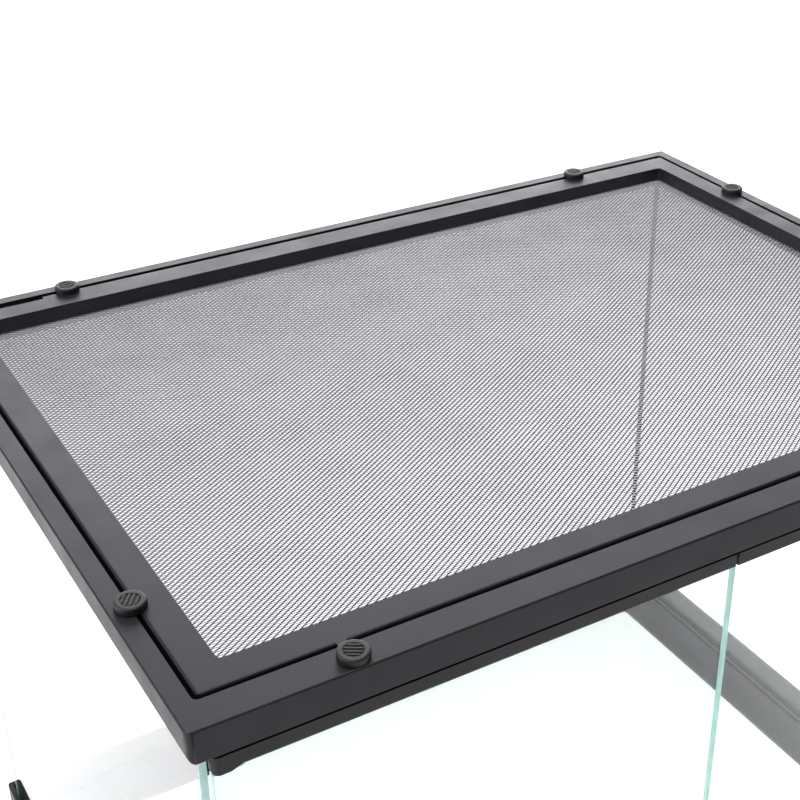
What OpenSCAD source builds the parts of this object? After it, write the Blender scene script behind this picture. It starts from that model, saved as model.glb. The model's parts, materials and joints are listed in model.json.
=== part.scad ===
// Front-opening glass hamster cage with a lift-off screen lid held by turn knobs.
// Origin: middle of the footprint on the surface it stands on. +X right, +Y back, +Z up.

/* [Tank] */
// Outside width of the rim and the base
tank_w = 600; // [560:5:640]
// Outside depth of the rim and the base, without the door pulls
tank_d = 450; // [420:5:480]
// Height from the surface to the top face of the rim
tank_h = 450; // [400:10:520]
// Thickness of every pane
glass_t = 4; // [3:0.5:4]

/* [Top rim] */
// Height of the rim's outer face
rim_h = 18.5; // [18:0.5:24]
// Width of the rim's top face along the front
rim_front = 18; // [17:0.5:20]
// Width of the rim's top face along the left
rim_left = 11; // [10:0.5:13]
// Width of the rim's top face along the right and the back
rim_back = 8.3; // [8.3:0.1:10]
// Depth of the pocket that the lid drops into
pocket = 9.8; // [9.8:0.1:11]
// Radius of the outer upright corners
corner_r = 3.5; // [2:0.5:5]

/* [Lid] */
// How far the lid's top face stands above the rim
lid_proud = 0.3; // [0.3:0.1:1]
// Gap between the lid and the rim at the front and the sides
lid_gap = 2.5; // [1.5:0.5:3]
// Gap between the lid and the rim at the back
lid_gap_back = 3.7; // [2.5:0.1:4]
// Width of the lid's left bar
lid_bar_left = 17.3; // [16:0.1:19]
// Width of the lid's right bar
lid_bar_right = 15.6; // [15.6:0.1:19]
// Width of the lid's front bar
lid_bar_front = 17.5; // [16:0.1:20]
// Width of the lid's back bar
lid_bar_back = 19.4; // [18:0.1:22]
// Length of the notch that lets a cable out at the back left
notch_l = 46; // [30:1:60]

/* [Knobs] */
// Diameter of a turn knob's head
knob_d = 15.8; // [14:0.2:17]
// Height of a turn knob's head
knob_h = 3.9; // [3:0.1:4.5]
// Distance of the front knobs from the corners
knob_along_front = 83; // [70:1:110]
// Distance of the back knobs from the corners
knob_along_back = 96; // [70:1:110]
// Distance of the side knobs from the front corners
knob_from_front = 94; // [70:1:110]
// Distance of the side knobs from the back corners
knob_from_back = 100; // [70:1:110]

/* [Doors] */
// Height of the rails that clasp the doors' glass
rail_h = 7.5; // [7:0.5:10]
// Thickness of the rails
rail_t = 8; // [8:0.5:9]
// Distance of the door pivots from the outer sides
pivot_inset = 17.7; // [17.5:0.1:19]
// Height of the top of the sill under the doors
sill_top = 146; // [120:2:180]
// Height of the door pulls
pull_z = 178; // [176:2:220]

/* [Base] */
// Height of the base frame
base_h = 50; // [44:1:60]

/* [Hidden] */

black = [0.16, 0.16, 0.17];
mesh_black = [0.10, 0.10, 0.11];
glass_green = [0.62, 0.82, 0.76, 0.35];

$fn = 48;
hx = tank_w / 2;
hy = tank_d / 2;
arc_steps = 5;

// Edge radii of the moulded frames
edge_r = 1;
under_r = 5.5;
lid_edge_r = 1.5;
inner_r = 3;

// Panes stand this far inside the outer faces
pane_in = 5;
pane_face = pane_in + glass_t;
guard_y0 = -hy + 3.5;
guard_y1 = guard_y0 + glass_t;
rim_z = tank_h - rim_h;
pane_top = tank_h - 11;
groove_play = 0.3;

// Base frame
skirt_t = 3.5;
flange_t = 3;
flange_w = 24;
curb_out = 9.6;
curb_t = 3;
floor_z = 26;
floor_top = floor_z + glass_t;
seal_w = 2.5;
corner_seal_r = 3;

// Opening inside the ledge that carries the lid, measured from the outer faces
ledge_left = 22;
ledge_right = 20;
ledge_front = 27;
ledge_back = 23;

// Lid
lid_x0 = -hx + rim_left + lid_gap;
lid_x1 = hx - rim_back - lid_gap;
lid_y0 = -hy + rim_front + lid_gap;
lid_y1 = hy - rim_back - lid_gap_back;
lid_z1 = tank_h + lid_proud;
lid_z0 = tank_h - pocket + 0.3;
hole_x0 = lid_x0 + lid_bar_left;
hole_x1 = lid_x1 - lid_bar_right;
hole_y0 = lid_y0 + lid_bar_front;
hole_y1 = lid_y1 - lid_bar_back;
mesh_t = 0.5;
mesh_lap = 5;
retainer_t = 1;
notch_x1 = -hx + 78.5;
notch_x0 = notch_x1 - notch_l;
notch_deep = 4.2;
screw_r = 1.25;
screw_grip = 5;

// Turn knobs, each on a tab of the lid sunk into the rim
knob_in_front = 8.6;
knob_in_left = 11.5;
knob_in_back = 11.3;
knob_in_right = 9.8;
head_gap = 0.05;
head_round = 1.3;
shank_r = 2.52;
barb_r = 3.2;
barb_l = 4.2;
well_r = 4;
well_deep = 6.3;
ear_bore_r = 2.6;
ear_t = 2;
ear_w = 5;
ear_r = 5;
ear_play = 0.4;
ear_z0 = lid_z1 - ear_t;

// Doors
door_y0 = -hy;
door_y1 = door_y0 + rail_t;
door_yc = door_y0 + rail_t / 2;
pivot_x = -hx + pivot_inset;
leaf_end = pane_face + 1;
leaf_x0 = -hx + leaf_end;
leaf_x1 = -0.8;
rail_gap = 0.7;
top_rail_z1 = rim_z - rail_gap;
top_rail_z0 = top_rail_z1 - rail_h;
low_rail_z0 = sill_top + 1;
low_rail_z1 = low_rail_z0 + rail_h;
boss_h = 2.4;
boss_w = 15;
boss_flat = 8.5;
boss_r = 2.6;
grip = 4;
pin_r = 2;
pin_bore_r = 2.05;
washer_r = 3.8;
washer_t = 0.7;
lug_play = 0.5;
glass_edge = 1;
stop_x = 266;
stop_y0 = door_y1 + 0.5;
stop_t = 3;
stop_h = 8;
sill_y0 = -hy + 1;
sill_h = 12;
guard_top = sill_top - 5;
sill_pin = 4;
rim_pin = 9;
catch_x = 40;
catch_w = 20;
catch_h = 5;
catch_z = 1.5;
magnet_t = 2;
strike_t = 0.8;
lug_root = 5;

// Door pull: a waisted button on a screw through the glass
pull_x = -22;
pull_foot_r = 8.5;
pull_foot = 2.5;
pull_waist_r = 5;
pull_waist = 10;
pull_r = 9.5;
pull_len = 16.5;
pull_screw_r = 1.9;
pull_screw_deep = 12;
pull_hole_r = 3;

ones = [1, 1, 1, 1];

// Points of a quarter turn about (cx, cy)
function arc(cx, cy, r, a0, n = arc_steps) =
    [for (i = [0:n]) [cx + r * cos(a0 + 90 * i / n), cy + r * sin(a0 + 90 * i / n)]];

// Rectangle with its own radius on each corner, from lower left anticlockwise
function rounded(x0, y0, x1, y1, r) = concat(
    arc(x0 + r[0], y0 + r[0], r[0], 180),
    arc(x1 - r[1], y0 + r[1], r[1], 270),
    arc(x1 - r[2], y1 - r[2], r[2], 0),
    arc(x0 + r[3], y1 - r[3], r[3], 90)
);

module box(x0, y0, z0, x1, y1, z1) {
    translate([x0, y0, z0]) cube([x1 - x0, y1 - y0, z1 - z0]);
}

// Upright prism with rounded corners in plan
module prism(x0, y0, x1, y1, z0, z1, r) {
    translate([0, 0, z0])
        linear_extrude(z1 - z0) polygon(rounded(x0, y0, x1, y1, r * ones));
}

// Block with rounded corners in plan, and edges rounded as seen from the front and the side
module soft_block(x0, y0, x1, y1, z0, z1, plan_r, front_r, side_r) {
    intersection() {
        prism(x0, y0, x1, y1, z0, z1, plan_r);
        rotate([90, 0, 0]) translate([0, 0, -y1 - 1])
            linear_extrude(y1 - y0 + 2) polygon(rounded(x0, z0, x1, z1, front_r));
        rotate([90, 0, 90]) translate([0, 0, x0 - 1])
            linear_extrude(x1 - x0 + 2) polygon(rounded(y0, z0, y1, z1, side_r));
    }
}

// Cylinder along +Z between two heights
module pole(x, y, z0, z1, r) {
    translate([x, y, z0]) cylinder(r = r, h = z1 - z0);
}

// Cylinder along +Y between two depths
module spindle(x, z, y0, y1, r) {
    translate([x, y1, z]) rotate([90, 0, 0]) cylinder(r = r, h = y1 - y0);
}

// ---- tank ----

module base_frame() {
    color(black) difference() {
        soft_block(-hx, -hy, hx, hy, 0, base_h, corner_r, edge_r * ones, edge_r * ones);
        difference() {
            prism(-hx + skirt_t, -hy + skirt_t, hx - skirt_t, hy - skirt_t,
                  flange_t, base_h + 1, edge_r);
            difference() {
                prism(-hx + curb_out, -hy + curb_out, hx - curb_out, hy - curb_out,
                      flange_t - 1, floor_z, edge_r);
                prism(-hx + curb_out + curb_t, -hy + curb_out + curb_t,
                      hx - curb_out - curb_t, hy - curb_out - curb_t,
                      0, floor_z + 1, edge_r);
            }
        }
        prism(-hx + flange_w, -hy + flange_w, hx - flange_w, hy - flange_w,
              -1, flange_t + 1, inner_r);
    }
}

module floor_pane() {
    color(glass_green)
        box(-hx + pane_face, guard_y1, floor_z, hx - pane_face, hy - pane_face, floor_top);
}

module back_pane() {
    color(glass_green)
        box(-hx + pane_face, hy - pane_face, flange_t, hx - pane_face, hy - pane_in, pane_top);
}

module left_pane() {
    color(glass_green)
        box(-hx + pane_in, guard_y0, flange_t, -hx + pane_face, hy - pane_in, pane_top);
}

module right_pane() {
    color(glass_green) mirror([1, 0, 0])
        box(-hx + pane_in, guard_y0, flange_t, -hx + pane_face, hy - pane_in, pane_top);
}

module front_guard_pane() {
    color(glass_green)
        box(-hx + pane_face, guard_y0, flange_t, hx - pane_face, guard_y1, guard_top);
}

// Lip behind a door edge, which the door closes against
module stop_lip(z0) {
    box(-stop_x, stop_y0, z0, stop_x, stop_y0 + stop_t, z0 + stop_h);
}

module magnet_block(x) {
    z = sill_top + catch_z;
    box(x, stop_y0, z, x + catch_w, stop_y0 + magnet_t, z + catch_h);
}

module door_sill() {
    sill_x = hx - pane_face - 0.2;
    color(black) difference() {
        union() {
            box(-sill_x, sill_y0, sill_top - sill_h, sill_x, stop_y0 + stop_t, sill_top);
            stop_lip(sill_top);
        }
        box(-hx, guard_y0, 0, hx, guard_y1, guard_top);
        for (side = [-1, 1])
            pole(side * pivot_x, door_yc, sill_top - sill_pin, sill_top + 1, pin_r);
        for (x = [-catch_x, catch_x - catch_w]) magnet_block(x);
    }
}

// Slot that a pane's top edge sits in
module pane_groove(x0, y0, x1, y1) {
    box(x0 - groove_play, y0 - groove_play, rim_z - 1, x1 + groove_play, y1 + groove_play,
        pane_top + 0.4);
}

// Slots for the top edges of the side panes and the back pane
module pane_grooves() {
    for (side = [-1, 1]) {
        x = side * (hx - pane_in - glass_t / 2);
        pane_groove(x - glass_t / 2, guard_y0, x + glass_t / 2, hy - pane_in);
    }
    pane_groove(-hx + pane_face, hy - pane_face, hx - pane_face, hy - pane_in);
}

// Space inside the rim's walls
module rim_inside(z0, z1) {
    prism(-hx + rim_left, -hy + rim_front, hx - rim_back, hy - rim_back, z0, z1, inner_r);
}

module top_rim() {
    color(black) difference() {
        soft_block(-hx, -hy, hx, hy, rim_z, tank_h, corner_r,
                   [under_r, under_r, edge_r, edge_r], [edge_r, under_r, edge_r, edge_r]);
        rim_inside(rim_z - 1, tank_h + 1);
        pane_grooves();
        for (side = [-1, 1])
            pole(side * pivot_x, door_yc, rim_z - 1, rim_z + rim_pin, pin_r);
        for (k = knobs) {
            pole(k[0], k[1], tank_h - well_deep, tank_h + 1, well_r);
            tab(k, ear_z0 - 0.3, tank_h + 1, ear_r + ear_play, ear_w / 2 + ear_play);
        }
    }
}

module lid_ledge() {
    color(black) difference() {
        rim_inside(rim_z, tank_h - pocket);
        prism(-hx + ledge_left, -hy + ledge_front, hx - ledge_right, hy - ledge_back,
              rim_z - 1, tank_h, inner_r);
        pane_grooves();
        box(notch_x0, lid_y1 - notch_deep - 0.3, rim_z - 1, notch_x1, hy, tank_h);
    }
}

module door_stop_strip() {
    color(black) stop_lip(rim_z - stop_h);
}

// Concave bead of silicone in an inside corner at (0, 0), filling towards +X and +Y
module bead(z0, z1, r) {
    translate([0, 0, z0]) linear_extrude(z1 - z0)
        polygon(concat([[0, 0]], [for (i = [0:arc_steps])
            [r - r * sin(90 * i / arc_steps), r - r * cos(90 * i / arc_steps)]]));
}

module corner_seals() {
    color("black") for (side = [0, 1]) mirror([side, 0, 0])
        translate([-hx + pane_face, hy - pane_face, 0]) mirror([0, 1, 0])
            bead(floor_top + seal_w, rim_z, corner_seal_r);
}

module floor_seal() {
    x = hx - pane_face;
    y = hy - pane_face;
    w = seal_w;
    color("black") difference() {
        box(-x, guard_y1, floor_top, x, y, floor_top + w);
        box(-x + w, guard_y1 + w, floor_top - 1, x - w, y - w, floor_top + w + 1);
    }
}

// ---- door pivots and catches ----

module top_pivot_pins() {
    color("silver") for (side = [-1, 1])
        pole(side * pivot_x, door_yc, top_rail_z0 - boss_h + 1, rim_z + rim_pin, pin_r);
}

module bottom_pivot_pins() {
    color("silver") for (side = [-1, 1])
        pole(side * pivot_x, door_yc, sill_top - sill_pin, low_rail_z1 + boss_h - 1, pin_r);
}

module pivot_washers() {
    color("white") for (side = [-1, 1]) difference() {
        pole(side * pivot_x, door_yc, sill_top, sill_top + washer_t, washer_r);
        pole(side * pivot_x, door_yc, sill_top - 1, sill_top + 1, pin_r);
    }
}

module sill_magnets() {
    color("dimgray") for (x = [-catch_x, catch_x - catch_w]) magnet_block(x);
}

// ---- doors, drawn at the left and mirrored for the right ----

module door_glass() {
    lug_x1 = leaf_x0 + boss_w + lug_play;
    lug_z = boss_h + lug_play;
    color(glass_green) difference() {
        box(leaf_x0 + lug_play, door_yc - glass_t / 2, low_rail_z1 - grip,
            -glass_edge, door_yc + glass_t / 2, top_rail_z0 + grip);
        box(leaf_x0 - 1, door_y0, top_rail_z0 - lug_z, lug_x1, door_y1, rim_z);
        box(leaf_x0 - 1, door_y0, 0, lug_x1, door_y1, low_rail_z1 + lug_z);
        spindle(pull_x, pull_z, door_y0 - 1, door_y1 + 1, pull_hole_r);
    }
}

// Bar with a round hinge end
module rail_bar(z0, z1, x1) {
    box(leaf_x0 + rail_t / 2, door_y0, z0, x1, door_y1, z1);
    pole(leaf_x0 + rail_t / 2, door_yc, z0, z1, rail_t / 2);
}

// Lug under the hinge end of a rail, hanging from height 0
module lug() {
    x1 = leaf_x0 + boss_w;
    intersection() {
        rail_bar(-boss_h, lug_root, x1);
        translate([0, door_y1 + 1, 0]) rotate([90, 0, 0]) linear_extrude(rail_t + 2)
            polygon(concat([[leaf_x0, lug_root]],
                arc(leaf_x0 + boss_r, boss_r - boss_h, boss_r, 180),
                [[leaf_x0 + boss_flat, -boss_h], [x1, 0], [x1, lug_root]]));
    }
}

// Rail with a lug that the pivot pin runs in: under it, or above it when over is 1
module door_rail(z0, over) {
    difference() {
        union() {
            rail_bar(z0, z0 + rail_h, leaf_x1);
            translate([0, 0, z0 + over * rail_h]) mirror([0, 0, over]) lug();
        }
        box(leaf_x0 + boss_w + lug_play, door_yc - glass_t / 2, low_rail_z1 - grip, 0,
            door_yc + glass_t / 2, top_rail_z0 + grip);
        pole(pivot_x, door_yc, z0 - 2 * rail_h, z0 + 3 * rail_h, pin_bore_r);
    }
}

module door_top_rail() {
    color(black) door_rail(top_rail_z0, 0);
}

module strike_block() {
    z = low_rail_z0 + catch_z;
    box(-catch_x, door_y1 - strike_t, z, -catch_x + catch_w, door_y1, z + catch_h);
}

module door_bottom_rail() {
    color(black) difference() {
        door_rail(low_rail_z0, 1);
        strike_block();
    }
}

// Profile of the pull as radius against distance from the glass
module door_pull() {
    face = door_yc - glass_t / 2;
    flare = 3;
    bevel = 1.5;
    color(black) difference() {
        translate([pull_x, face, pull_z]) rotate([90, 0, 0]) rotate_extrude() polygon([
            [0, 0],
            [pull_foot_r, 0],
            [pull_foot_r, pull_foot],
            [pull_waist_r, pull_foot],
            [pull_waist_r, pull_waist],
            [pull_r, pull_waist + flare],
            [pull_r, pull_len - bevel],
            [pull_r - bevel, pull_len],
            [0, pull_len]
        ]);
        spindle(pull_x, pull_z, face - pull_screw_deep, face + 1, pull_screw_r);
    }
}

module pull_screw() {
    face = door_yc - glass_t / 2;
    inside = door_yc + glass_t / 2;
    color("silver") {
        spindle(pull_x, pull_z, face - pull_screw_deep, inside + 0.5, pull_screw_r);
        spindle(pull_x, pull_z, inside, inside + 2.2, 4);
    }
}

module strike_plate() {
    color("silver") strike_block();
}

// ---- lid ----

// Where the screws that hold the mesh go
module lid_screw_spots() {
    step_x = 110;
    step_y = 120;
    inset = 3;
    for (i = [-2:2], y = [hole_y0 - inset, hole_y1 + inset])
        translate([i * step_x, y, 0]) children();
    for (i = [-1:1], x = [hole_x0 - inset, hole_x1 + inset])
        translate([x, i * step_y, 0]) children();
}

// Tab with a round end at a knob, reaching towards the lid
module tab(k, z0, z1, r, half) {
    translate([k[0], k[1], z0]) rotate(k[2]) {
        cylinder(r = r, h = z1 - z0);
        translate([0, -half, 0]) cube([k[3] + 2, 2 * half, z1 - z0]);
    }
}

module lid_frame() {
    color(black) difference() {
        union() {
            difference() {
                soft_block(lid_x0, lid_y0, lid_x1, lid_y1, lid_z0, lid_z1, 2.5,
                           lid_edge_r * ones, lid_edge_r * ones);
                for (k = knobs) pole(k[0], k[1], lid_z0 - 1, ear_z0, well_r);
            }
            for (k = knobs) tab(k, ear_z0, lid_z1, ear_r, ear_w / 2);
        }
        prism(hole_x0, hole_y0, hole_x1, hole_y1, lid_z0 - 1, lid_z1 + 1, inner_r);
        box(notch_x0, lid_y1 - notch_deep, lid_z0 - 1, notch_x1, lid_y1 + 1, lid_z1 + 1);
        for (k = knobs) pole(k[0], k[1], ear_z0 - 1, lid_z1 + 1, ear_bore_r);
        lid_screw_spots() pole(0, 0, lid_z0 - 1, lid_z0 + screw_grip, screw_r);
    }
}

// Rectangle round the lid's opening, wider by a lap on every side
module opening_plate(lap, z0, z1) {
    box(hole_x0 - lap, hole_y0 - lap, z0, hole_x1 + lap, hole_y1 + lap, z1);
}

module lid_mesh() {
    color(mesh_black) difference() {
        opening_plate(mesh_lap, lid_z0 - mesh_t, lid_z0);
        lid_screw_spots() pole(0, 0, lid_z0 - 2, lid_z0 + 1, screw_r);
    }
}

module mesh_retainer() {
    top = lid_z0 - mesh_t;
    color(black) difference() {
        opening_plate(mesh_lap + 0.8, top - retainer_t, top);
        opening_plate(0, top - 5, top + 1);
        lid_screw_spots() pole(0, 0, top - 5, top + 1, screw_r);
    }
}

module retainer_screws() {
    under = lid_z0 - mesh_t - retainer_t;
    color("silver") lid_screw_spots() {
        pole(0, 0, under - 0.5, lid_z0 + screw_grip, screw_r);
        pole(0, 0, under - 1, under, 2.4);
    }
}

// ---- turn knobs ----

// x, y, direction towards the lid, reach to the lid's edge, turn of the grip ridges
front_reach = lid_y0 + hy - knob_in_front;
left_reach = lid_x0 + hx - knob_in_left;
back_reach = hy - lid_y1 - knob_in_back;
right_reach = hx - lid_x1 - knob_in_right;
knobs = [
    [-hx + knob_along_front, -hy + knob_in_front, 90, front_reach, -32],
    [hx - knob_along_front, -hy + knob_in_front, 90, front_reach, 20],
    [-hx + knob_in_left, -hy + knob_from_front, 0, left_reach, 55],
    [-hx + knob_in_left, hy - knob_from_back, 0, left_reach, 0],
    [-hx + knob_along_back, hy - knob_in_back, -90, back_reach, -50],
    [hx - knob_along_back, hy - knob_in_back, -90, back_reach, 35],
    [hx - knob_in_right, -hy + knob_from_front, 180, right_reach, 70],
    [hx - knob_in_right, hy - knob_from_back, 180, right_reach, -20]
];

module knob(i) {
    k = knobs[i];
    r = knob_d / 2;
    dish_r = 5;
    dish = 0.6;
    proud = 0.1;
    ridge_w = 1;
    ridge_step = 2.3;
    shank = head_gap + ear_t;
    root_z = knob_h - dish - 0.2;
    color([0.2, 0.2, 0.2]) translate([k[0], k[1], lid_z1 + head_gap]) rotate(k[4]) {
        difference() {
            rotate_extrude() polygon(concat([[0, 0], [r, 0]],
                arc(r - head_round, knob_h - head_round, head_round, 0), [[0, knob_h]]));
            pole(0, 0, knob_h - dish, knob_h + 1, dish_r);
        }
        intersection() {
            pole(0, 0, root_z, knob_h + proud, dish_r - 0.4);
            for (n = [-1.5:1.5])
                box(-dish_r, n * ridge_step - ridge_w / 2, root_z,
                    dish_r, n * ridge_step + ridge_w / 2, knob_h + proud);
        }
        pole(0, 0, -shank, 0.2, shank_r);
        translate([0, 0, -shank - barb_l]) cylinder(r1 = 2, r2 = barb_r, h = barb_l);
    }
}

base_frame();
floor_pane();
back_pane();
left_pane();
right_pane();
front_guard_pane();
door_sill();
top_rim();
lid_ledge();
door_stop_strip();
corner_seals();
floor_seal();
top_pivot_pins();
bottom_pivot_pins();
pivot_washers();
sill_magnets();
door_glass();  // left_door_glass
door_top_rail();  // left_door_top_rail
door_bottom_rail();  // left_door_bottom_rail
door_pull();  // left_door_pull
pull_screw();  // left_pull_screw
strike_plate();  // left_strike_plate
mirror([1, 0, 0]) door_glass();  // right_door_glass
mirror([1, 0, 0]) door_top_rail();  // right_door_top_rail
mirror([1, 0, 0]) door_bottom_rail();  // right_door_bottom_rail
mirror([1, 0, 0]) door_pull();  // right_door_pull
mirror([1, 0, 0]) pull_screw();  // right_pull_screw
mirror([1, 0, 0]) strike_plate();  // right_strike_plate
lid_frame();
lid_mesh();
mesh_retainer();
retainer_screws();
knob(0);  // knob_front_left
knob(1);  // knob_front_right
knob(2);  // knob_left_front
knob(3);  // knob_left_back
knob(4);  // knob_back_left
knob(5);  // knob_back_right
knob(6);  // knob_right_front
knob(7);  // knob_right_back
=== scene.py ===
"""Looks of the glass cage: camera, soft studio light, refined frames, glass, open diamond mesh."""

import json
import math

import bmesh
import bpy
from mathutils import Matrix, Vector

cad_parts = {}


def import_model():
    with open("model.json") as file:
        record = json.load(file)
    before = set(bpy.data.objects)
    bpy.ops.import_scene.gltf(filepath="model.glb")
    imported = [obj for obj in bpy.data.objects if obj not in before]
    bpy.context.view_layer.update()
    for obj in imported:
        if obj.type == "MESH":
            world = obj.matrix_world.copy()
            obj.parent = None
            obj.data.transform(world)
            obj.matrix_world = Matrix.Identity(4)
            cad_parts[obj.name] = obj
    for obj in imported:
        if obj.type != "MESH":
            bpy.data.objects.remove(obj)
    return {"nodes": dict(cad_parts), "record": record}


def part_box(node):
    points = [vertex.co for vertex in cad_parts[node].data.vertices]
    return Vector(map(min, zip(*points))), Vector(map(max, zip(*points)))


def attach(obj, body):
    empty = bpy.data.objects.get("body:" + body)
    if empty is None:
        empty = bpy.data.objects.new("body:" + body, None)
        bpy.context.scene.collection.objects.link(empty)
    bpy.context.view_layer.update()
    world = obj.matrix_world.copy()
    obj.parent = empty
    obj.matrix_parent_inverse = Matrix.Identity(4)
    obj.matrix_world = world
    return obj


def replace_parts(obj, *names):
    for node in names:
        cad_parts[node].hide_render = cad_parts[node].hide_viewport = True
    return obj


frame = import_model()
NODES = frame["nodes"]
BODY_OF = {n: b for b, ns in frame["record"]["behaviour"]["bodies"].items() for n in ns}
SLOT_OF = {s["node"]: s["material_slot"] for s in frame["record"]["subparts"]}
MM = 0.001


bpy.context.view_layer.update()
SCENE = bpy.context.scene

# ---------------------------------------------------------------- camera

YAW, PITCH, ROLL = (math.radians(a) for a in (32.103, 29.692, 0.597))
CAMERA_AT = (-0.44565, -0.68051, 0.87516)
SENSOR_MM = 36
LENS_MM = 66.78
SHIFT_X = -0.095
CLIP_END = 50


def make_camera():
    """The photo's viewpoint: above the front left corner, turned right by YAW and down by PITCH."""
    ahead = Vector((math.sin(YAW) * math.cos(PITCH), math.cos(YAW) * math.cos(PITCH), -math.sin(PITCH)))
    right = Vector((math.cos(YAW), -math.sin(YAW), 0))
    up = right.cross(ahead)
    x = math.cos(ROLL) * right + math.sin(ROLL) * up
    y = -math.sin(ROLL) * right + math.cos(ROLL) * up
    data = bpy.data.cameras.new("view")
    data.sensor_width = SENSOR_MM
    data.lens = LENS_MM
    data.shift_x = SHIFT_X
    data.clip_end = CLIP_END
    cam = bpy.data.objects.new("view", data)
    turn = Matrix((x, y, -ahead)).transposed()
    cam.matrix_world = Matrix.Translation(CAMERA_AT) @ turn.to_4x4()
    SCENE.collection.objects.link(cam)
    SCENE.camera = cam


make_camera()
SCENE.view_settings.view_transform = "Standard"

# ---------------------------------------------------------------- material kit


class Tree:
    """A material's nodes, with short calls for the ones used here."""

    def __init__(self, name):
        self.mat = bpy.data.materials.new(name)
        self.mat.use_nodes = True
        self.n = self.mat.node_tree.nodes
        self.l = self.mat.node_tree.links
        self.n.clear()
        self.out = self.n.new("ShaderNodeOutputMaterial")
        self.coord = self.n.new("ShaderNodeTexCoord")

    def link(self, a, b):
        self.l.new(a, b)

    def mapped(self, scale, rotation=(0, 0, 0)):
        m = self.n.new("ShaderNodeMapping")
        m.inputs["Scale"].default_value = scale
        m.inputs["Rotation"].default_value = rotation
        self.link(self.coord.outputs["Object"], m.inputs["Vector"])
        return m.outputs["Vector"]

    def noise(self, scale, detail=3.0, rough=0.5, vector=None, distortion=0.0):
        t = self.n.new("ShaderNodeTexNoise")
        t.inputs["Scale"].default_value = scale
        t.inputs["Detail"].default_value = detail
        t.inputs["Roughness"].default_value = rough
        t.inputs["Distortion"].default_value = distortion
        self.link(vector or self.coord.outputs["Object"], t.inputs["Vector"])
        return t.outputs["Fac"]

    def voronoi(self, scale):
        t = self.n.new("ShaderNodeTexVoronoi")
        t.inputs["Scale"].default_value = scale
        self.link(self.coord.outputs["Object"], t.inputs["Vector"])
        return t.outputs["Distance"]

    def spread(self, fac, low, high, a=0.3, b=0.7):
        """Takes fac from a to b onto low to high, and holds it there beyond them."""
        m = self.n.new("ShaderNodeMapRange")
        m.inputs["From Min"].default_value = a
        m.inputs["From Max"].default_value = b
        m.inputs["To Min"].default_value = low
        m.inputs["To Max"].default_value = high
        self.link(fac, m.inputs["Value"])
        return m.outputs["Result"]

    def math(self, kind, a, b):
        m = self.n.new("ShaderNodeMath")
        m.operation = kind
        for s, v in zip(m.inputs, (a, b)):
            if isinstance(v, (int, float)):
                s.default_value = v
            else:
                self.link(v, s)
        return m.outputs[0]

    def mix(self, fac, a, b):
        m = self.n.new("ShaderNodeMix")
        m.data_type = "RGBA"
        for name, kind, v in (("Factor", "VALUE", fac), ("A", "RGBA", a), ("B", "RGBA", b)):
            s = [i for i in m.inputs if i.name == name and i.type == kind][0]
            if isinstance(v, tuple):
                s.default_value = (*v, 1)
            elif isinstance(v, (int, float)):
                s.default_value = v
            else:
                self.link(v, s)
        return [o for o in m.outputs if o.type == "RGBA"][0]

    def bump(self, height, distance, strength=1.0, under=None):
        b = self.n.new("ShaderNodeBump")
        b.inputs["Distance"].default_value = distance
        b.inputs["Strength"].default_value = strength
        self.link(height, b.inputs["Height"])
        if under:
            self.link(under, b.inputs["Normal"])
        return b.outputs["Normal"]

    def shader(self, color=None, rough=None, normal=None, **fixed):
        p = self.n.new("ShaderNodeBsdfPrincipled")
        for name, v in (("Base Color", color), ("Roughness", rough), ("Normal", normal)):
            if v is None:
                continue
            if isinstance(v, tuple):
                p.inputs[name].default_value = (*v, 1)
            elif isinstance(v, (int, float)):
                p.inputs[name].default_value = v
            else:
                self.link(v, p.inputs[name])
        for name, v in fixed.items():
            p.inputs[name.replace("_", " ")].default_value = v
        return p

    def done(self, shader):
        self.link(shader.outputs[0], self.out.inputs["Surface"])
        return self.mat


def moulded(name, dark, light, rough, grain=2600, grain_depth=0.02, specular=0.5):
    """Moulded plastic: fine grain, faint flow marks, hairline scuffs and dust that varies the sheen."""
    t = Tree(name)
    fine = t.noise(grain, 2, 0.6)
    flow = t.noise(9, 4, 0.55, t.mapped((1, 1, 3)), 0.4)
    cloud = t.noise(45, 3, 0.6)
    scuff = t.noise(60, 5, 0.7, t.mapped((1, 26, 26), (0, 0, 0.5)))
    speck = t.voronoi(420)
    tone = t.mix(t.spread(flow, 0, 1, 0.35, 0.65), dark, light)
    dust = t.math("MULTIPLY", t.spread(speck, 1, 0, 0.03, 0.09), t.spread(cloud, 0, 0.35, 0.5, 0.7))
    tone = t.mix(dust, tone, (0.32, 0.32, 0.31))
    line = t.math("MULTIPLY", t.spread(scuff, 0, 1, 0.66, 0.74), t.spread(cloud, 0, 0.25, 0.45, 0.7))
    tone = t.mix(line, tone, (0.2, 0.2, 0.2))
    sheen = t.math("ADD", t.spread(cloud, rough - 0.05, rough + 0.06), t.spread(fine, -0.03, 0.03))
    n = t.bump(fine, grain_depth * MM)
    n = t.bump(flow, 0.06 * MM, 0.5, n)
    return t.done(t.shader(tone, sheen, n, Specular_IOR_Level=specular))


GLASS_IOR = 1.5
# painted glow: the pane edges emit their own green, standing in for light piped along the glass
EDGE_PAINTED_GLOW = 0.2


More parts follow.
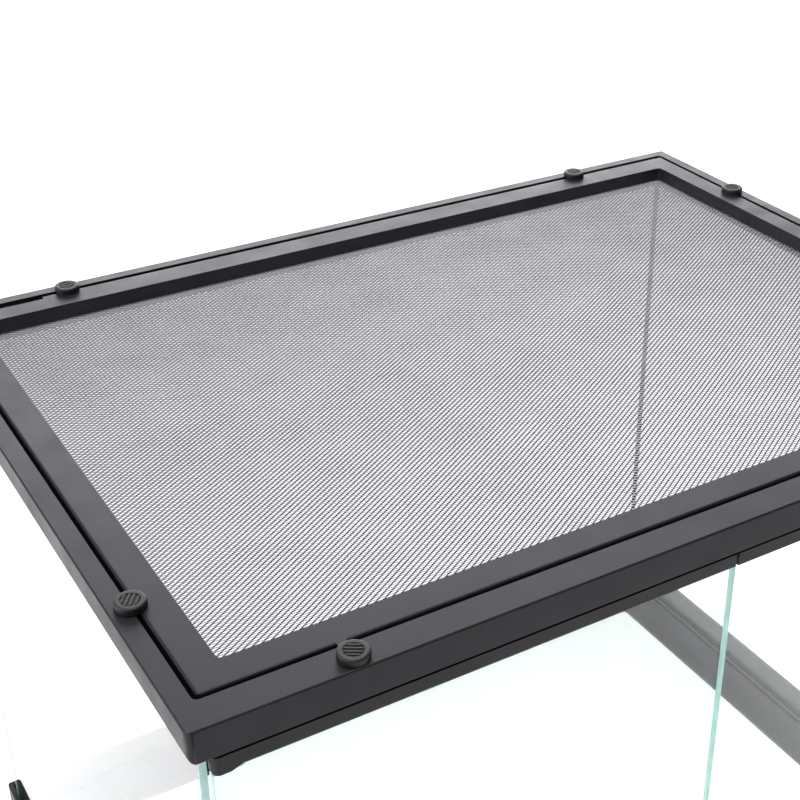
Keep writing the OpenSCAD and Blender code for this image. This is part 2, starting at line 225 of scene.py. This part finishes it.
def glass(name):
    """Clear float glass: light passes to what is inside, with faint smears in the gloss."""
    t = Tree(name)
    smear = t.noise(14, 4, 0.6, t.mapped((1, 1, 0.5)), 0.6)
    n = t.bump(t.noise(6, 2, 0.5), 0.02 * MM, 0.4)
    gloss = t.spread(smear, 0.0, 0.035, 0.45, 0.7)
    p = t.shader((0.955, 0.985, 0.975), gloss, n, Transmission_Weight=1.0, IOR=GLASS_IOR)
    clear = t.n.new("ShaderNodeBsdfTransparent")
    clear.inputs["Color"].default_value = (0.9, 0.94, 0.925, 1)
    path = t.n.new("ShaderNodeLightPath")
    mix = t.n.new("ShaderNodeMixShader")
    t.link(path.outputs["Is Shadow Ray"], mix.inputs[0])
    t.link(p.outputs[0], mix.inputs[1])
    t.link(clear.outputs[0], mix.inputs[2])
    return t.done(mix)


def glass_edge(name):
    """The ground edge of a pane in the glass's green, with a painted glow that stands in for light
    piped along the glass.
    """
    t = Tree(name)
    wave = t.noise(140, 4, 0.65, t.mapped((1, 1, 0.25)))
    chips = t.voronoi(900)
    tone = t.mix(t.spread(wave, 0, 1, 0.35, 0.65), (0.38, 0.66, 0.60), (0.62, 0.86, 0.80))
    n = t.bump(chips, 0.05 * MM, 0.5)
    sheen = t.spread(wave, 0.16, 0.34)
    # the emission here paints the edge's glow
    p = t.shader(tone, sheen, n, IOR=GLASS_IOR, Coat_Weight=0.4, Emission_Strength=EDGE_PAINTED_GLOW)
    t.link(tone, p.inputs["Emission Color"])
    return t.done(p)


def coated_wire(name):
    """Dark blackened metal, bright only where a strand's face catches the light overhead."""
    t = Tree(name)
    fine = t.noise(5200, 2, 0.6)
    cloud = t.noise(30, 3, 0.5)
    tone = t.mix(t.spread(cloud, 0, 1), (0.16, 0.158, 0.166), (0.19, 0.188, 0.197))
    n = t.bump(fine, 0.012 * MM, 0.6)
    return t.done(t.shader(tone, t.spread(fine, 0.24, 0.36), n, Metallic=1.0))


def silicone(name):
    """Black sealant drawn along its joint, slightly wavy and half glossy."""
    t = Tree(name)
    wave = t.noise(70, 3, 0.5, t.mapped((1, 1, 0.3)))
    fine = t.noise(900, 2, 0.5)
    tone = t.mix(t.spread(wave, 0, 1), (0.012, 0.012, 0.013), (0.03, 0.03, 0.032))
    n = t.bump(wave, 0.25 * MM, 0.6, t.bump(fine, 0.01 * MM))
    return t.done(t.shader(tone, t.spread(wave, 0.28, 0.42), n))


def steel(name, tone, rough, grain_axis):
    """Bare steel with fine marks along one axis."""
    t = Tree(name)
    scale = [40, 40, 40]
    scale[grain_axis] = 1
    brush = t.noise(60, 4, 0.7, t.mapped(tuple(scale)))
    cloud = t.noise(120, 3, 0.5)
    color = t.mix(t.spread(cloud, 0, 1), tuple(v * 0.85 for v in tone), tone)
    n = t.bump(brush, 0.01 * MM, 0.6)
    return t.done(t.shader(color, t.spread(brush, rough - 0.07, rough + 0.09), n, Metallic=1.0))


def sheet_plastic(name, dark, light, rough):
    """Plain cut or pressed material with a faint cloud in its tone."""
    t = Tree(name)
    cloud = t.noise(160, 3, 0.5)
    fine = t.noise(3000, 2, 0.5)
    tone = t.mix(t.spread(cloud, 0, 1), dark, light)
    return t.done(t.shader(tone, t.spread(cloud, rough - 0.06, rough + 0.06), t.bump(fine, 0.01 * MM)))


FRAME_BLACK = moulded(
    "frame_black", (0.0088, 0.0080, 0.0112), (0.0140, 0.0130, 0.0172), 0.44, specular=0.36
)
KNOB_BLACK = moulded(
    "knob_black", (0.0125, 0.0128, 0.0133), (0.0215, 0.0218, 0.0222), 0.48, 3600, 0.03, 0.42
)
PANE = glass("pane_glass")
PANE_EDGE = glass_edge("pane_edge")
WIRE = coated_wire("wire_black")
SEAL = silicone("seal_black")
STEEL = steel("fixing_steel", (0.62, 0.62, 0.63), 0.28, 2)
WASHER = sheet_plastic("washer_white", (0.72, 0.72, 0.69), (0.86, 0.86, 0.83), 0.4)
MAGNET = sheet_plastic("magnet_dark", (0.035, 0.035, 0.038), (0.075, 0.073, 0.07), 0.6)
SLOT_MATERIAL = {
    "frame_plastic": FRAME_BLACK,
    "knob_plastic": KNOB_BLACK,
    "pane_glass": PANE,
    "mesh_metal": WIRE,
    "seal_silicone": SEAL,
    "fixing_steel": STEEL,
    "washer_plastic": WASHER,
    "magnet_ferrite": MAGNET,
}

# ---------------------------------------------------------------- pieces


def add_piece(name, mesh, node, *materials):
    """Links a new piece that stands for a CAD node, with its body and slot."""
    o = bpy.data.objects.new(name, mesh)
    SCENE.collection.objects.link(o)
    for m in materials:
        mesh.materials.append(m)
    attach(o, BODY_OF[node])
    return o


WELD = 2e-6  # distance under which two corners are one
FLAT = math.radians(0.5)  # bend under which two faces are one


def welded(node):
    """A clean copy of a CAD node's mesh: corners joined, flat faces merged."""
    bm = bmesh.new()
    bm.from_mesh(NODES[node].data)
    bmesh.ops.remove_doubles(bm, verts=bm.verts, dist=WELD)
    bmesh.ops.dissolve_degenerate(bm, dist=WELD, edges=bm.edges)
    bmesh.ops.dissolve_limit(bm, angle_limit=FLAT, verts=bm.verts, edges=bm.edges)
    return bm


def to_mesh(bm, name):
    """Turns a bmesh into a mesh and frees it."""
    mesh = bpy.data.meshes.new(name)
    bm.to_mesh(mesh)
    bm.free()
    return mesh


CREASE = math.radians(35)  # bend past which the edge between two faces stays sharp


def eased_normals(mesh):
    """Flat faces stay flat and rounds blend into them: each corner leans to its largest smooth face."""
    limit = math.cos(CREASE)
    around = [[] for _ in mesh.vertices]
    for face in mesh.polygons:
        for v in face.vertices:
            around[v].append(face)
    normals = []
    for face in mesh.polygons:
        for v in face.vertices:
            near = (q for q in around[v] if q.normal.dot(face.normal) > limit)
            normals.append(sum((q.normal * (q.area / MM**2) ** 3 for q in near), Vector()).normalized())
    mesh.normals_split_custom_set(normals)


def smooth_rounds(mesh):
    """Smooth shading across the facets of a round, with creases kept."""
    mesh.shade_smooth()
    mesh.set_sharp_from_angle(angle=CREASE)


def refined(node, soften=0.0):
    """Stands for a moulded CAD node, with its corners eased and its rounds shaded smooth."""
    mesh = to_mesh(welded(node), node + "_fine")
    smooth_rounds(mesh)
    o = add_piece(node + "_fine", mesh, node, SLOT_MATERIAL[SLOT_OF[node]])
    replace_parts(o, node)
    if not soften:
        eased_normals(mesh)
        return
    b = o.modifiers.new("ease", "BEVEL")
    b.width = soften
    b.segments = 2
    b.limit_method = "ANGLE"
    b.angle_limit = math.radians(50)
    b.use_clamp_overlap = True
    w = o.modifiers.new("normals", "WEIGHTED_NORMAL")
    w.keep_sharp = True


BEAD_PART = 0.9


def thin_beads(node):
    """Stands for the corner beads, drawn in closer to their corners."""
    bm = welded(node)
    lo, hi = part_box(node)
    for v in bm.verts:
        corner = lo.x if v.co.x < 0 else hi.x
        v.co.x = corner + (v.co.x - corner) * BEAD_PART
        v.co.y = hi.y + (v.co.y - hi.y) * BEAD_PART
    mesh = to_mesh(bm, node + "_fine")
    smooth_rounds(mesh)
    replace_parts(add_piece(node + "_fine", mesh, node, SEAL), node)


ARRIS = 0.35 * MM


def glazed(node):
    """Stands for a pane: its edges are ground to a small arris and show the glass's green."""
    lo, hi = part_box(node)
    size = hi - lo
    thin = min(range(3), key=lambda i: size[i])
    bm = welded(node)
    corner = math.radians(60)
    sharp = [e for e in bm.edges if len(e.link_faces) == 2 and e.calc_face_angle(0) > corner]
    bmesh.ops.bevel(bm, geom=sharp, offset=ARRIS, segments=1, affect="EDGES", clamp_overlap=True)
    for f in bm.faces:
        f.material_index = 0 if abs(f.normal[thin]) > 0.9 else 1
        f.smooth = False
    mesh = to_mesh(bm, node + "_fine")
    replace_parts(add_piece(node + "_fine", mesh, node, PANE, PANE_EDGE), node)


for n in ("base_frame", "top_rim", "lid_ledge", "lid_frame", "door_sill"):
    refined(n)
thin_beads("corner_seals")
for side in ("left", "right"):
    refined(f"{side}_door_top_rail", 0.5 * MM)
    refined(f"{side}_door_bottom_rail", 0.5 * MM)
    refined(f"{side}_door_pull", 0.4 * MM)
    glazed(f"{side}_door_glass")
for n in ("floor_pane", "back_pane", "left_pane", "right_pane", "front_guard_pane"):
    glazed(n)
for n in NODES:
    if n.startswith("knob_"):
        refined(n, 0.25 * MM)

for n, o in NODES.items():
    o.data.materials.clear()
    o.data.materials.append(SLOT_MATERIAL[SLOT_OF[n]])

# ---------------------------------------------------------------- open diamond mesh

CELL_LONG = 4.9 * MM
CELL_SHORT = 3.05 * MM
STRAND_W = 0.64 * MM
STRAND_T = 0.16 * MM
STRAND_TILT = math.radians(24)
KNUCKLE = 0.9  # from one strand's middle to the next one's where they meet, in strand widths
PANELS = 4


def diamond_mesh():
    """Strands in zigzag rows that meet their neighbours, in a few panels laid side by side."""
    lo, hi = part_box("lid_mesh")
    z = (lo.z + hi.z) / 2
    half_long, half_short = CELL_LONG / 2, CELL_SHORT / 2
    columns = int((hi.x - lo.x - 2 * STRAND_W) / half_long)
    rows = int((hi.y - lo.y - 2 * STRAND_W) / half_short)
    x0 = (lo.x + hi.x - columns * half_long) / 2
    y0 = (lo.y + hi.y - rows * half_short) / 2
    c, s = math.cos(STRAND_TILT), math.sin(STRAND_TILT)
    w, h = STRAND_W / 2 / math.cos(math.atan2(half_short, half_long)), STRAND_T / 2
    ring = [(a * c - b * s, a * s + b * c) for a, b in ((-w, -h), (w, -h), (w, h), (-w, h))]
    for p in range(PANELS):
        verts, faces = [], []
        for k in range(rows * p // PANELS, rows * (p + 1) // PANELS):
            start = len(verts)
            for i in range(columns + 1):
                up = (i + k) % 2
                y = y0 + (k + up) * half_short + (0.5 - up) * STRAND_W * KNUCKLE
                level = z + (0.5 - up) * 2 * w * s
                verts += [(x0 + i * half_long, y + dy, level + dz) for dy, dz in ring]
            for i in range(columns):
                a = start + 4 * i
                faces += [(a + j, a + 4 + j, a + 4 + (j + 1) % 4, a + (j + 1) % 4) for j in range(4)]
            last = start + 4 * columns
            faces += [(start, start + 1, start + 2, start + 3), (last + 3, last + 2, last + 1, last)]
        mesh = bpy.data.meshes.new(f"diamond_mesh_{p + 1}")
        mesh.from_pydata(verts, [], faces)
        o = add_piece(mesh.name, mesh, "lid_mesh", WIRE)
        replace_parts(o, "lid_mesh")


diamond_mesh()

# ---------------------------------------------------------------- stage and light

FLOOR_RADIUS = 14
# painted glow: the floor emits light under and behind the tank, filling in the shadows there
FLOOR_PAINTED_GLOW = 0.56
GLOW_FROM, GLOW_FULL = -1.25, -0.25
# painted shade: the floor is a darker grey in front of the tank
FRONT_PAINTED_SHADE = (0.46, 0.46, 0.465)


def floor():
    """Pale studio floor: a painted glow where it lies under and behind the tank, and painted shade that
    makes it darker grey in front.
    """
    mesh = bpy.data.meshes.new("floor")
    bm = bmesh.new()
    bmesh.ops.create_circle(bm, cap_ends=True, segments=96, radius=FLOOR_RADIUS)
    bm.to_mesh(mesh)
    bm.free()
    o = bpy.data.objects.new("floor", mesh)
    SCENE.collection.objects.link(o)
    t = Tree("floor_pale")
    cloud = t.noise(0.8, 3, 0.5)
    parts = t.n.new("ShaderNodeSeparateXYZ")
    t.link(t.coord.outputs["Object"], parts.inputs[0])
    # painted light and shade: along Y the floor turns from darker grey without glow in front to pale
    # and glowing behind
    painted_light_mask = t.spread(parts.outputs["Y"], 0, 1, GLOW_FROM, GLOW_FULL)
    pale = t.mix(t.spread(cloud, 0, 1), (0.86, 0.86, 0.865), (0.9, 0.9, 0.9))
    p = t.shader(t.mix(painted_light_mask, FRONT_PAINTED_SHADE, pale), 0.75, Specular_IOR_Level=0.2)
    p.inputs["Emission Color"].default_value = (1, 1, 1, 1)
    t.link(t.math("MULTIPLY", painted_light_mask, FLOOR_PAINTED_GLOW), p.inputs["Emission Strength"])
    mesh.materials.append(t.done(p))


def soft_light(name, at, aim, size, power):
    """A white rectangular panel at a point, turned towards another."""
    data = bpy.data.lights.new(name, "AREA")
    data.shape = "RECTANGLE"
    data.size, data.size_y = size
    data.energy = power
    o = bpy.data.objects.new(name, data)
    o.location = at
    o.rotation_euler = (Vector(aim) - Vector(at)).to_track_quat("-Z", "Y").to_euler()
    SCENE.collection.objects.link(o)


WORLD_FILL = 0.12
WORLD_LOBES = (
    # direction, cosine from it where the glow starts and where it is full, radiance
    ((-0.05, 0, 1), 0.80, 0.93, 1.3),
    ((0.45, 0.89, 0.08), 0.80, 0.97, 5.5),
    ((-0.96, 0.1, 0.25), 0.60, 0.90, 0.8),
)
BACKDROP_TONES = (0.37, 1.06)  # in front of the tank and behind it
BACKDROP_TURN = (-0.35, 0.05)  # a direction's Y, over which the first turns into the second
BACKDROP_FADE = (0.2, 0.6)  # a direction's Z, over which the backdrop ends
WORLD_COLOR = (0.99, 0.98, 1.02, 1)


def world():
    """Studio surround: lobes of light, and a pale backdrop that is only seen and lights nothing."""
    w = bpy.data.worlds.new("studio")
    SCENE.world = w
    w.use_nodes = True
    n, l = w.node_tree.nodes, w.node_tree.links
    coord = n.new("ShaderNodeTexCoord").outputs["Generated"]

    def eased(value, edges, ends):
        m = n.new("ShaderNodeMapRange")
        m.interpolation_type = "SMOOTHSTEP"
        m.inputs["From Min"].default_value, m.inputs["From Max"].default_value = edges
        m.inputs["To Min"].default_value, m.inputs["To Max"].default_value = ends
        l.new(value, m.inputs["Value"])
        return m.outputs["Result"]

    def combined(kind, a, b):
        m = n.new("ShaderNodeMath")
        m.operation = kind
        for socket, v in zip(m.inputs, (a, b)):
            if isinstance(v, float):
                socket.default_value = v
            else:
                l.new(v, socket)
        return m.outputs[0]

    total = WORLD_FILL
    for direction, start, full, radiance in WORLD_LOBES:
        dot = n.new("ShaderNodeVectorMath")
        dot.operation = "DOT_PRODUCT"
        dot.inputs[1].default_value = Vector(direction).normalized()
        l.new(coord, dot.inputs[0])
        total = combined("ADD", total, eased(dot.outputs["Value"], (start, full), (0, radiance)))
    parts = n.new("ShaderNodeSeparateXYZ")
    l.new(coord, parts.inputs[0])
    across = eased(parts.outputs["Y"], BACKDROP_TURN, BACKDROP_TONES)
    backdrop = combined("MULTIPLY", across, eased(parts.outputs["Z"], BACKDROP_FADE, (1, 0)))
    path = n.new("ShaderNodeLightPath")
    seen = combined("MAXIMUM", path.outputs["Is Camera Ray"], path.outputs["Is Transmission Ray"])
    total = combined("MAXIMUM", total, combined("MULTIPLY", seen, backdrop))
    n["Background"].inputs["Color"].default_value = WORLD_COLOR
    l.new(total, n["Background"].inputs["Strength"])


floor()
world()
soft_light("overhead", (-0.15, 0, 2.6), (-0.1, 0, 0.2), (1.9, 1.9), 30)
soft_light("left", (-2.4, 0.6, 1.1), (-0.2, 0, 0.3), (2.0, 1.6), 22)
